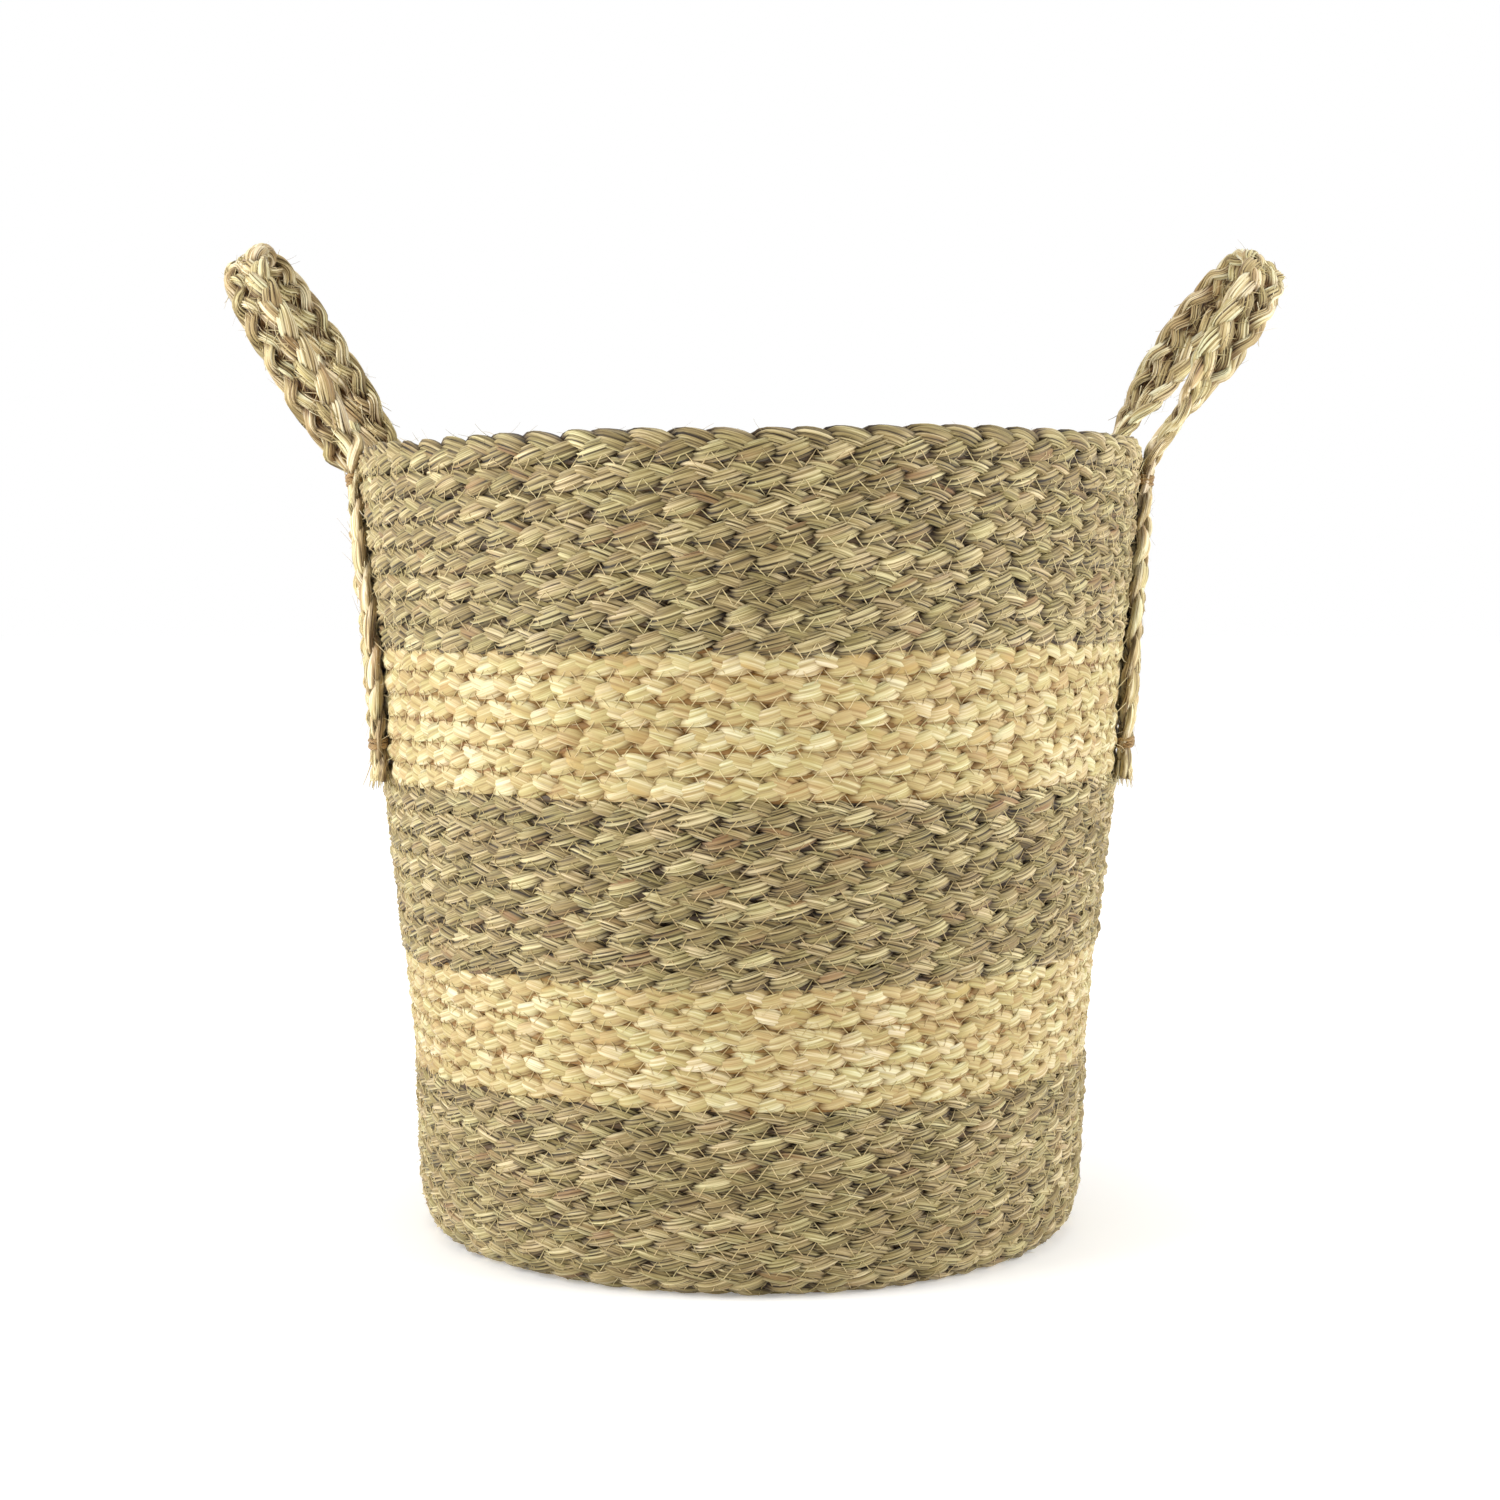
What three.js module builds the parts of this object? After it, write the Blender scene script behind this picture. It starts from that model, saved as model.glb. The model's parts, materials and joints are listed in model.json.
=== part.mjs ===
// A coiled storage basket of sewn seagrass and corn-husk plait with two looped handles.
// Millimetres, +Z up, origin on the floor at the middle of the underside.
// The handles stand at -X and +X, turned a little towards the back (+Y).
import * as THREE from "three";

// Body
const HEIGHT = 340; // floor to the top of the rim
const RIM_RADIUS = 171; // outside of the rim
const FLOOR_RADIUS = 136; // where the underside leaves the floor
const WALL = 8; // thickness of the sewn plait
const CORNER_HEIGHT = 24; // top of the rounded bottom edge
const BASE_RADIUS = 131; // outside of the flat spiral
const GAP = 0.3; // between neighbouring solids
const AROUND = 72; // segments round the body
const CORNER_STEPS = 5;
const RIM_ROUNDING = 4;

// Outside radius of the wall at the height of each change of plait
const OUTLINE = [
  { height: CORNER_HEIGHT, radius: 147.3 },
  { height: 76, radius: 149 },
  { height: 125.5, radius: 153.6 },
  { height: 199, radius: 162.2 },
  { height: 257, radius: 165.8 },
  { height: HEIGHT, radius: RIM_RADIUS },
];

// Handles
const STRAP_WIDTH = 24; // over the loop, across the double plait
const STRAP_THICKNESS = 7;
const LEG_WIDTH = 19;
const LEG_THICKNESS = 6.5;
const LASHED_WIDTH = 15; // where a lashing gathers the strap
const LEG_FOOT = 200; // height of the cut end of each leg
const LOWER_LASHING = 214;
const UPPER_LASHING = 327;
const HINGE_HEIGHT = 342;
const HINGE_RADIUS = 176.5; // of the strap's middle as it passes the rim
const LEG_SPREAD = 13.5; // degrees from the middle of a handle to each of its legs
const LOOP_LEAN = 31; // degrees outwards from upright
const LOOP_HEIGHT = 98; // hinge to the middle of the strap at the top of the loop
const LEG_STANDOFF = 2.2; // how far the strap bows off the wall between its lashings
const LASHING_THICKNESS = 1.8;
const LASHING_WIDTH = 5;
const LASHING_CLEARANCE = 0.8; // from the strap inside it

// Each handle: which way it faces (degrees about +Z from +X) and how far its legs splay downwards
const HANDLES = [
  { name: "left", facing: 175.5, splay: 8 },
  { name: "right", facing: 7, splay: 5 },
];

const SEAGRASS = { color: 0xa29063, roughness: 0.75, metalness: 0 };
const HUSK = { color: 0xd9c68f, roughness: 0.7, metalness: 0 };
const STRAP = { color: 0xab9562, roughness: 0.75, metalness: 0 };
const LASHING = { color: 0xa8824c, roughness: 0.75, metalness: 0 };

const { degToRad, lerp, smoothstep } = THREE.MathUtils;

function part(name, geometry, look) {
  const mesh = new THREE.Mesh(geometry, new THREE.MeshStandardMaterial(look));
  mesh.name = name;
  return mesh;
}

// Outside radius of the wall at a height, straight between the changes of plait
function wallRadius(height) {
  const above = Math.max(1, OUTLINE.findIndex((point) => point.height >= height));
  const low = OUTLINE[above - 1];
  const high = OUTLINE[above];
  return lerp(low.radius, high.radius, (height - low.height) / (high.height - low.height));
}

// A ring of revolution about Z from a closed outline of [radius, height] pairs
function revolve(outline) {
  const points = outline.map(([radius, height]) => new THREE.Vector2(radius, height));
  points.push(points[0].clone());
  return new THREE.LatheGeometry(points, AROUND).rotateX(Math.PI / 2);
}

// A closed solid through matching rings, with a flat cap at each end
function loft(rings) {
  const count = rings[0].length;
  const index = [];
  for (let ring = 0; ring + 1 < rings.length; ring++) {
    for (let i = 0; i < count; i++) {
      const here = ring * count + i;
      const next = ring * count + ((i + 1) % count);
      index.push(here, next, next + count, here, next + count, here + count);
    }
  }
  const last = (rings.length - 1) * count;
  for (let i = 1; i + 1 < count; i++) {
    index.push(0, i + 1, i);
    index.push(last, last + i, last + i + 1);
  }
  const positions = rings.flat().flatMap((point) => point.toArray());
  const geometry = new THREE.BufferGeometry();
  geometry.setAttribute("position", new THREE.Float32BufferAttribute(positions, 3));
  geometry.setIndex(index);
  geometry.computeVertexNormals();
  return geometry;
}

// A flat strap's section, with its corners cut, square to its direction of travel
function strapRing(centre, travel, wide, width, thickness) {
  const thin = new THREE.Vector3().crossVectors(travel, wide).normalize();
  const corner = Math.min(2, thickness * 0.3);
  const x = width / 2;
  const y = thickness / 2;
  const outline = [
    [x, -y + corner],
    [x, y - corner],
    [x - corner, y],
    [corner - x, y],
    [-x, y - corner],
    [-x, corner - y],
    [corner - x, -y],
    [x - corner, -y],
  ];
  return outline.map(([u, v]) => centre.clone().addScaledVector(wide, u).addScaledVector(thin, v));
}

// --- the body -------------------------------------------------------------

function baseSpiral() {
  const outline = [
    new THREE.Vector2(0, 0),
    new THREE.Vector2(BASE_RADIUS, 0),
    new THREE.Vector2(BASE_RADIUS, WALL),
    new THREE.Vector2(0, WALL),
  ];
  return new THREE.LatheGeometry(outline, AROUND).rotateX(Math.PI / 2);
}

// The rows turn up from the floor into the wall in a rounded edge
function bottomEdge() {
  const inner = BASE_RADIUS + GAP;
  const outer = OUTLINE[0].radius;
  const top = CORNER_HEIGHT - GAP;
  const outside = [];
  const inside = [];
  for (let i = 0; i <= CORNER_STEPS; i++) {
    const turn = (i / CORNER_STEPS) * (Math.PI / 2);
    const out = Math.sin(turn);
    const up = 1 - Math.cos(turn);
    outside.push([lerp(FLOOR_RADIUS, outer, out), top * up]);
    inside.push([lerp(inner, outer - WALL, out), lerp(WALL, top, up)]);
  }
  return revolve([[inner, 0], ...outside, ...inside.reverse()]);
}

function wallBand(low, high) {
  return revolve([
    [low.radius, low.height],
    [high.radius, high.height - GAP],
    [high.radius - WALL, high.height - GAP],
    [low.radius - WALL, low.height],
  ]);
}

// The last band ends in the rounded rim
function rimBand(low) {
  const round = RIM_ROUNDING;
  const outer = RIM_RADIUS;
  const inner = RIM_RADIUS - WALL;
  return revolve([
    [low.radius, low.height],
    [outer, HEIGHT - round],
    [outer - round * 0.3, HEIGHT - round * 0.3],
    [outer - round, HEIGHT],
    [inner + round * 0.3, HEIGHT - round * 0.3],
    [inner, HEIGHT - round],
    [low.radius - WALL, low.height],
  ]);
}

// --- the handles ----------------------------------------------------------
// Each handle is built in a frame of its own, with x outwards, y along the rim and z up.

// Where a leg of the strap is at a height: side is -1 or 1
function legPoint(side, height, splay) {
  const down = smoothstep(UPPER_LASHING - height, 0, (UPPER_LASHING - LOWER_LASHING) * 0.6);
  const angle = degToRad(side * (LEG_SPREAD + splay * down));
  const span = (height - LOWER_LASHING) / (UPPER_LASHING - LOWER_LASHING);
  const bow = LEG_STANDOFF * Math.max(0, Math.sin(Math.PI * span));
  const free = smoothstep(height, UPPER_LASHING, HINGE_HEIGHT);
  const lying = wallRadius(height) + LEG_THICKNESS / 2 + 2 * GAP + bow;
  const radius = lerp(lying, HINGE_RADIUS, free);
  return new THREE.Vector3(radius * Math.cos(angle), radius * Math.sin(angle), height);
}

// Travel up the leg, and the direction across its width, at a height
function legFrame(side, height, splay) {
  const centre = legPoint(side, height, splay);
  const travel = legPoint(side, height + 1, splay).sub(legPoint(side, height - 1, splay)).normalize();
  const out = new THREE.Vector3(centre.x, centre.y, 0).normalize();
  const wide = new THREE.Vector3().crossVectors(travel, out).normalize();
  return { centre, travel, wide };
}

// The strap is gathered at each lashing and flares at its cut end
function legWidth(height) {
  const near = (lashing) => Math.exp(-(((height - lashing) / 9) ** 2));
  const gathered = Math.max(near(LOWER_LASHING), near(UPPER_LASHING));
  return lerp(LEG_WIDTH, LASHED_WIDTH, gathered);
}

function strapLeg(side, splay) {
  const top = HINGE_HEIGHT - STRAP_THICKNESS / 2 - 2 * GAP;
  const steps = 14;
  const rings = [];
  for (let i = 0; i <= steps; i++) {
    const height = lerp(LEG_FOOT, top, i / steps);
    const { centre, travel, wide } = legFrame(side, height, splay);
    rings.push(strapRing(centre, travel, wide, legWidth(height), LEG_THICKNESS));
  }
  return loft(rings);
}

// A few turns of seagrass over the strap, open towards the wall, which the real turns pass through
function lashing(side, height, splay) {
  const { centre, travel, wide } = legFrame(side, height, splay);
  const out = new THREE.Vector3().crossVectors(wide, travel).normalize();
  const acrossTo = LASHED_WIDTH / 2 + LASHING_CLEARANCE + LASHING_THICKNESS / 2;
  const outTo = LEG_THICKNESS / 2 + LASHING_CLEARANCE + LASHING_THICKNESS / 2;
  const inTo = 1 - LEG_THICKNESS / 2;
  const route = [
    [-acrossTo, inTo],
    [-acrossTo, outTo * 0.45],
    [-acrossTo * 0.75, outTo],
    [acrossTo * 0.75, outTo],
    [acrossTo, outTo * 0.45],
    [acrossTo, inTo],
  ].map(([u, v]) => centre.clone().addScaledVector(wide, u).addScaledVector(out, v));
  const rings = route.map((point, i) => {
    const before = route[Math.max(0, i - 1)];
    const after = route[Math.min(route.length - 1, i + 1)];
    const along = after.clone().sub(before).normalize();
    return strapRing(point, along, travel, LASHING_WIDTH, LASHING_THICKNESS);
  });
  return loft(rings);
}

// The loop: two straight legs and a half circle, in a plane that leans outwards. The strap lies flat
// to the wall at the hinge, and turns edge-on to the wall on its way up, so that it bends easily.
function strapLoop() {
  const lean = degToRad(LOOP_LEAN);
  const spread = degToRad(LEG_SPREAD);
  const hinge = new THREE.Vector3(HINGE_RADIUS * Math.cos(spread), 0, HINGE_HEIGHT);
  const arch = HINGE_RADIUS * Math.sin(spread); // radius of the half circle
  const straight = LOOP_HEIGHT - arch;
  const up = new THREE.Vector3(Math.sin(lean), 0, Math.cos(lean));
  const along = new THREE.Vector3(0, 1, 0);
  const across = new THREE.Vector3().crossVectors(along, up);
  const nose = STRAP_THICKNESS / 2;
  const legSteps = 9;
  const archSteps = 16;
  const twisted = straight * 0.85; // distance over which the strap makes its quarter turn

  const ring = (v, u, travel, turned, width, thickness) => {
    const centre = hinge.clone().addScaledVector(along, v).addScaledVector(up, u);
    const flat = new THREE.Vector3().crossVectors(travel, across);
    const quarter = (1 - turned) * (Math.PI / 2);
    const wide = across.clone().multiplyScalar(Math.cos(quarter));
    wide.addScaledVector(flat, Math.sin(quarter));
    return strapRing(centre, travel, wide, width, thickness);
  };
  const legRing = (side, u) => {
    const travel = up.clone().multiplyScalar(-side);
    const turned = smoothstep(u, 2, twisted);
    const width = lerp(LASHED_WIDTH + 2, STRAP_WIDTH, smoothstep(u, 0, twisted));
    const rounding = u < 0 ? Math.sqrt(Math.max(0.12, 1 - (u / nose) ** 2)) : 1;
    return ring(side * arch, u, travel, turned, width, STRAP_THICKNESS * rounding);
  };
  const heights = [-nose * 0.97, -nose * 0.7];
  for (let i = 0; i <= legSteps; i++) heights.push((straight * i) / legSteps);

  const rings = heights.map((u) => legRing(-1, u));
  for (let i = 1; i < archSteps; i++) {
    const turn = (i / archSteps) * Math.PI;
    const travel = along.clone().multiplyScalar(Math.sin(turn)).addScaledVector(up, Math.cos(turn));
    const u = straight + arch * Math.sin(turn);
    rings.push(ring(-arch * Math.cos(turn), u, travel, 1, STRAP_WIDTH, STRAP_THICKNESS));
  }
  heights.reverse().forEach((u) => rings.push(legRing(1, u)));
  return loft(rings);
}

function handle({ name, facing, splay }) {
  const group = new THREE.Group();
  group.rotation.z = degToRad(facing);
  // Seen from the front (-Y), the front leg of the right handle is on its -y side
  const front = name === "right" ? -1 : 1;
  group.add(part(`${name}_loop`, strapLoop(), STRAP));
  for (const [where, side] of [["front", front], ["rear", -front]]) {
    group.add(part(`${name}_${where}_leg`, strapLeg(side, splay), STRAP));
    group.add(part(`${name}_${where}_upper_lashing`, lashing(side, UPPER_LASHING, splay), LASHING));
    group.add(part(`${name}_${where}_lower_lashing`, lashing(side, LOWER_LASHING, splay), LASHING));
  }
  return group;
}

// --- the basket -----------------------------------------------------------

const basket = new THREE.Group();
basket.add(part("base_spiral", baseSpiral(), SEAGRASS));
basket.add(part("bottom_edge", bottomEdge(), SEAGRASS));
basket.add(part("lower_seagrass_band", wallBand(OUTLINE[0], OUTLINE[1]), SEAGRASS));
basket.add(part("lower_husk_band", wallBand(OUTLINE[1], OUTLINE[2]), HUSK));
basket.add(part("middle_seagrass_band", wallBand(OUTLINE[2], OUTLINE[3]), SEAGRASS));
basket.add(part("upper_husk_band", wallBand(OUTLINE[3], OUTLINE[4]), HUSK));
basket.add(part("upper_seagrass_band", rimBand(OUTLINE[4]), SEAGRASS));
HANDLES.forEach((one) => basket.add(handle(one)));

export default basket;
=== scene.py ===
"""A storage basket of sewn seagrass and corn-husk plait with two strap handles.

Metres, +Z up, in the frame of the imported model. One plait of three strands is coiled from the middle of
the base to the rim and changes material from band to band. Each row is sewn to the next by a zigzag thread.
"""

import json
import math
from dataclasses import dataclass

import bpy
import numpy as np
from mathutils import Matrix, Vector


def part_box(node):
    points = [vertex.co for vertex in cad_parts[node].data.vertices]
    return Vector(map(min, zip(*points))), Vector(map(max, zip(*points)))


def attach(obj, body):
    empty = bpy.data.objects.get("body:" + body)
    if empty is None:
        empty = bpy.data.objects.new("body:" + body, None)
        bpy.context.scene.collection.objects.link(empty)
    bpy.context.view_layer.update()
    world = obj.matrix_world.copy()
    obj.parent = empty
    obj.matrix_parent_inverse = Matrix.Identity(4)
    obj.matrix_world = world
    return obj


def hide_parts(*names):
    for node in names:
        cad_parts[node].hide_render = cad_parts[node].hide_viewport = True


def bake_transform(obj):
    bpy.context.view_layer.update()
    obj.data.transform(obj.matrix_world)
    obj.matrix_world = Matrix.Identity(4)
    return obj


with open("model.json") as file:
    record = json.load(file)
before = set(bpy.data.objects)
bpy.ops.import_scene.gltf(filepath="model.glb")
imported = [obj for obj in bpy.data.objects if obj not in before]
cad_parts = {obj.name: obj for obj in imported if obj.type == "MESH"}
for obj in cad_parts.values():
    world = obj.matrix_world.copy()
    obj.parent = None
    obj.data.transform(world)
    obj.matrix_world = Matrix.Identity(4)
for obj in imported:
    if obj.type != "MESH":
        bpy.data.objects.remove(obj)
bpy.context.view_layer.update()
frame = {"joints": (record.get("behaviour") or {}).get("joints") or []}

TAU = 2 * math.pi
MM = 0.001

# --- the body's outline -----------------------------------------------------
WALL_BANDS = (
    "lower_seagrass_band",
    "lower_husk_band",
    "middle_seagrass_band",
    "upper_husk_band",
    "upper_seagrass_band",
)
CORNER_START = 136 * MM  # radius where the underside leaves the floor
REACH = 3.7 * MM  # from the middle of a row to its inner and outer faces
SMOOTHING = 30  # millimetres of wall over which its slope changes, an even number
MEAN_RADIUS = 150 * MM  # of the body, for lengths that needn't be exact
FLAT_POINTS = 60  # of the outline, under the base
UNEVEN = 0.9 * MM  # how far the wall strays from a true round
STEADY = 60 * MM  # height above which it strays in full

# --- the coil: which rows are made of what -----------------------------------
# name, CAD nodes that it stands for, rows, material, style of plait
BANDS = (
    ("base", ("base_spiral",), 15, "seagrass", "flat_seagrass"),
    ("lower_seagrass", ("bottom_edge", "lower_seagrass_band"), 10, "seagrass", "seagrass"),
    ("lower_husk", ("lower_husk_band",), 6, "corn_husk", "corn_husk"),
    ("middle_seagrass", ("middle_seagrass_band",), 8, "seagrass", "seagrass"),
    ("upper_husk", ("upper_husk_band",), 6, "corn_husk", "corn_husk"),
    ("upper_seagrass", ("upper_seagrass_band",), 8, "seagrass", "seagrass"),
)
SPIRAL_START = 1.5 * MM  # radius at which the coil begins
SEAM = math.pi / 2  # the coil begins, changes material and ends at the back
FULL_ROW = 10.4 * MM  # height of the widest row
OVERLAP = 0.012  # turns by which one material runs on behind the next
THINNING = 20 * MM  # length over which the end of a material thins out
RIM_THINNING = 70 * MM  # the same for the coil's end at the rim
TUCK = 2 * MM  # how far the end of a material goes in and down
RIM_TUCK = 5 * MM  # how far the coil's end at the rim drops, on to the row below
BLADE_RADIUS = 1.7 * MM  # of the blades hidden between the rows
BLADE_STEP = 0.008  # turns between their rings
FLOOR_GAP = 0.2 * MM  # the plait is flattened this far above the floor

# --- the sewing thread -------------------------------------------------------
STITCH = 10 * MM  # length of one zigzag
STITCH_REACH = 3.3 * MM  # above and below the joint between two rows
STRAP_STITCH = 8 * MM
STRAP_STITCH_REACH = 3 * MM  # to each side of the strap's middle
THREAD_THICKNESS = 0.40 * MM
CLEAR = 9 * MM  # well outside the plait, where a search for its face starts

# --- loose fibres --------------------------------------------------------------
OUTER_FIBRES = 52  # for each row
INNER_FIBRES = 12  # for each row
RIM_FIBRES = 170
HANDLE_FIBRES = 950  # for each handle
CUT_BLADES = 46  # in each cut end of a strap

# --- the handles -------------------------------------------------------------
LEG_SPREAD = math.radians(13.5)  # of each leg from the handle's middle, about Z
LEG_WIDTH = 19 * MM
LASHED_WIDTH = 15 * MM
LASHED_LENGTH = 9 * MM  # on each side of a lashing, over which the strap is squeezed
LEG_THICKNESS = 6.5 * MM
LEG_FOOT = 199 * MM  # heights, from the floor
LOWER_LASHING = 214 * MM
UPPER_LASHING = 327 * MM
LEG_PRESS = 0.5 * MM  # how far a leg lies in the unevenness of the wall's face
SPRING = 3.5 * MM  # how far the front of a loop stands off the rim
BEND_LENGTH = 13 * MM  # of strap on each side of the hinge, on which no loose fibres are put


@dataclass
class Handle:
    """How one of the two handles differs from the other."""

    body: str
    splay: float  # of each leg, from the rim down
    lean: float  # of the loop, outwards
    height: float  # of the loop, along its lean
    gathered: float  # width of the strap where it leaves the rim
    broad: float  # width of the strap in the loop
    turn_start: float  # above the rim, where the strap starts to turn edge on to it
    turning: float  # share of the straight part over which it turns
    widening: float  # share of the straight part over which it widens


HANDLES = {
    "left": Handle(
        "left_handle", splay=math.radians(8), lean=math.radians(31), height=98 * MM, gathered=15 * MM,
        broad=19 * MM, turn_start=-14 * MM, turning=0.33, widening=0.5,
    ),
    "right": Handle(
        "right_handle", splay=math.radians(5), lean=math.radians(34), height=101 * MM, gathered=10.5 * MM,
        broad=19 * MM, turn_start=2 * MM, turning=0.9, widening=1.0,
    ),
}


@dataclass
class Style:
    """How the strands of a plait are shaped."""

    period: float  # length over which a strand crosses the plait and comes back
    swing: float  # of a strand to each side of a full row
    weave: float  # of a strand above and below the row's middle
    broad: float
    thick: float
    groove: float  # depth of the grooves between blades, as a share of the thickness
    lens: float  # how far the strands slope down towards the row's edges
    tilt: float  # how far each row leans in under the next
    press: float  # how far a row reaches before the next one flattens it, in half rows
    linger: float  # how much longer a strand lies on the face than behind it
    pinch: float  # how much narrower a strand is behind the others than on the face
    step: float  # between the rings of a strand
    sides: int  # points in a strand's section


STYLES = {
    "seagrass": Style(
        period=46 * MM, swing=4.0 * MM, weave=1.8 * MM, broad=7.6 * MM, thick=3.3 * MM, groove=0.32,
        lens=0.45, tilt=0.20, press=1.4, linger=0.20, pinch=0.18, step=2.4 * MM, sides=22,
    ),
    "flat_seagrass": Style(
        period=42 * MM, swing=3.9 * MM, weave=1.3 * MM, broad=6.9 * MM, thick=2.9 * MM, groove=0.26,
        lens=0.30, tilt=0.0, press=1.2, linger=0.18, pinch=0.16, step=2.3 * MM, sides=18,
    ),
    "corn_husk": Style(
        period=40 * MM, swing=3.7 * MM, weave=1.5 * MM, broad=8.8 * MM, thick=3.0 * MM, groove=0.09,
        lens=0.34, tilt=0.06, press=1.06, linger=0.20, pinch=0.18, step=2.3 * MM, sides=18,
    ),
    "strap": Style(
        period=47 * MM, swing=4.1 * MM, weave=1.6 * MM, broad=7.9 * MM, thick=2.6 * MM, groove=0.48,
        lens=0.50, tilt=0.0, press=1.35, linger=0.18, pinch=0.18, step=1.6 * MM, sides=26,
    ),
}
TWISTED_PLY = Style(
    period=9 * MM, swing=0.40 * MM, weave=0.0, broad=1.3 * MM, thick=1.3 * MM, groove=0.15,
    lens=0.0, tilt=0.0, press=1.0, linger=0.0, pinch=0.0, step=1 * MM, sides=10,
)


@dataclass
class Course:
    """The line that a plait follows, as arrays with one row for each step."""

    centre: np.ndarray
    across: np.ndarray  # towards the next row
    out: np.ndarray  # away from the plait's face
    along: np.ndarray  # length from the start
    width: np.ndarray  # of the row
    taper: np.ndarray  # 1, or less where the plait thins out at its ends
    open_edge: float = 0.0  # or an array: 1 where the edge towards across is open and free of painted shade


# --- small tools --------------------------------------------------------------
def unit(vectors):
    return vectors / np.linalg.norm(vectors, axis=-1, keepdims=True)


def square_to(vectors, travel):
    """What is left of vectors without their share along travel, made one long."""
    return unit(vectors - np.sum(vectors * travel, -1, keepdims=True) * travel)


def length_along(points):
    """Length from the first point of a line to each of its points."""
    return np.concatenate([[0], np.cumsum(np.linalg.norm(np.diff(points, axis=0), axis=1))])


def smooth(value):
    """0 below 0 and 1 above 1, with a soft rise in between."""
    held = np.clip(value, 0, 1)
    return held * held * (3 - 2 * held)


def drift(rng, along, spacing, count=1):
    """Smooth random values from -1 to 1 along a length: an array with a row for each of count."""
    place = (along - along[0]) / spacing
    before = place.astype(int)
    knots = rng.uniform(-1, 1, (count, before[-1] + 2))
    share = smooth(place - before)
    return knots[:, before] * (1 - share) + knots[:, before + 1] * share


def as_vectors(x, y, z, shape):
    return np.stack([np.broadcast_to(value, shape) for value in (x, y, z)], -1)


def grid_faces(rings, sides):
    """The faces of a tube of rings x sides points, with a cap at each end."""
    ring = np.arange(rings - 1)[:, None] * sides
    side = np.arange(sides)[None, :]
    after = (side + 1) % sides
    quads = np.stack([ring + side, ring + after, ring + sides + after, ring + sides + side], -1)
    faces = quads.reshape(-1, 4).tolist()
    faces.append(list(range(sides - 1, -1, -1)))
    faces.append(list(range((rings - 1) * sides, rings * sides)))
    return faces


def piece(name, tubes, material, body="basket"):
    """A mesh of tubes. Each is (rings, look): an array of points, and a dict of vectors at those points."""
    points, faces, looks = [], [], {}
    first = 0
    for rings, look in tubes:
        count, sides = rings.shape[:2]
        points.append(rings.reshape(-1, 3))
        faces += [[corner + first for corner in face] for face in grid_faces(count, sides)]
        first += count * sides
        for key, values in look.items():
            looks.setdefault(key, []).append(values.reshape(-1, 3))
    mesh = bpy.data.meshes.new(name)
    mesh.from_pydata(np.concatenate(points).tolist(), [], faces)
    for key, values in looks.items():
        attribute = mesh.attributes.new(key, "FLOAT_VECTOR", "POINT")
        attribute.data.foreach_set("vector", np.concatenate(values).astype(np.float32).ravel())
    mesh.shade_smooth()
    mesh.materials.append(material)
    obj = bpy.data.objects.new(name, mesh)
    bpy.context.scene.collection.objects.link(obj)
    if body:
        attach(obj, body)
    return obj


# --- the body's surface ---------------------------------------------------------
def outer_line():
    """Radius and height of the outside of the body, from the middle of the underside to the rim."""
    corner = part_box("bottom_edge")[1]
    turn = np.linspace(0, math.pi / 2, 30)
    radii = [np.linspace(0, CORNER_START, FLAT_POINTS)]
    radii.append(CORNER_START + (corner.x - CORNER_START) * np.sin(turn[1:]))
    heights = [np.zeros(FLAT_POINTS), corner.z * (1 - np.cos(turn[1:]))]
    tops = [corner] + [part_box(node)[1] for node in WALL_BANDS]
    rise = np.arange(corner.z, tops[-1].z + MM / 2, MM)
    wall = np.interp(rise, [top.z for top in tops], [top.x for top in tops])
    half = SMOOTHING // 2
    kernel = np.hanning(SMOOTHING + 3)[1:-1]
    padded = np.pad(wall, half, mode="reflect", reflect_type="odd")
    radii.append(np.convolve(padded, kernel / kernel.sum(), "valid")[1:])
    heights.append(rise[1:])
    return np.concatenate(radii), np.concatenate(heights)


class Surface:
    """The middle of the body's wall, by length from the middle of the base and turns about Z."""

    def __init__(self):
        radius, height = outer_line()
        self.outer_radius, self.outer_height = radius, height
        lean = unit(np.stack([np.gradient(radius), np.gradient(height)], -1))
        self.radius = radius - REACH * lean[:, 1]
        self.height = height + REACH * lean[:, 0]
        steps = np.hypot(np.diff(self.radius), np.diff(self.height))
        self.length = np.concatenate([[0], np.cumsum(steps)])
        self.lean = lean

    def length_at(self, height):
        return float(np.interp(height, self.outer_height[FLAT_POINTS:], self.length[FLAT_POINTS:]))

    def wall_radius(self, height):
        return np.interp(height, self.outer_height[FLAT_POINTS:], self.outer_radius[FLAT_POINTS:])

    def frame(self, length, angle):
        """Point, direction towards the rim and direction outwards, with the body's slight unevenness."""
        radius = np.interp(length, self.length, self.radius)
        height = np.interp(length, self.length, self.height)
        lean_r = np.interp(length, self.length, self.lean[:, 0])
        lean_z = np.interp(length, self.length, self.lean[:, 1])
        radial = np.stack([np.cos(angle), np.sin(angle), np.zeros_like(angle)], -1)
        rise = np.array([0.0, 0.0, 1.0])
        across = radial * lean_r[:, None] + rise * lean_z[:, None]
        out = radial * lean_z[:, None] - rise * lean_r[:, None]
        uneven = UNEVEN * smooth(height / STEADY)
        bulge = 0.5 * np.sin(2 * angle + 1.1) + 0.35 * np.sin(5 * angle + 30 * height)
        bulge = bulge + 0.2 * np.sin(9 * angle)
        sway = 0.6 * np.sin(3 * angle + 0.8 + 9 * height) + 0.4 * np.sin(7 * angle + 21 * height + 2)
        point = radial * (radius + uneven * bulge)[:, None] + rise * (height + uneven * sway)[:, None]
        return point, across, out


surface = Surface()


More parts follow.
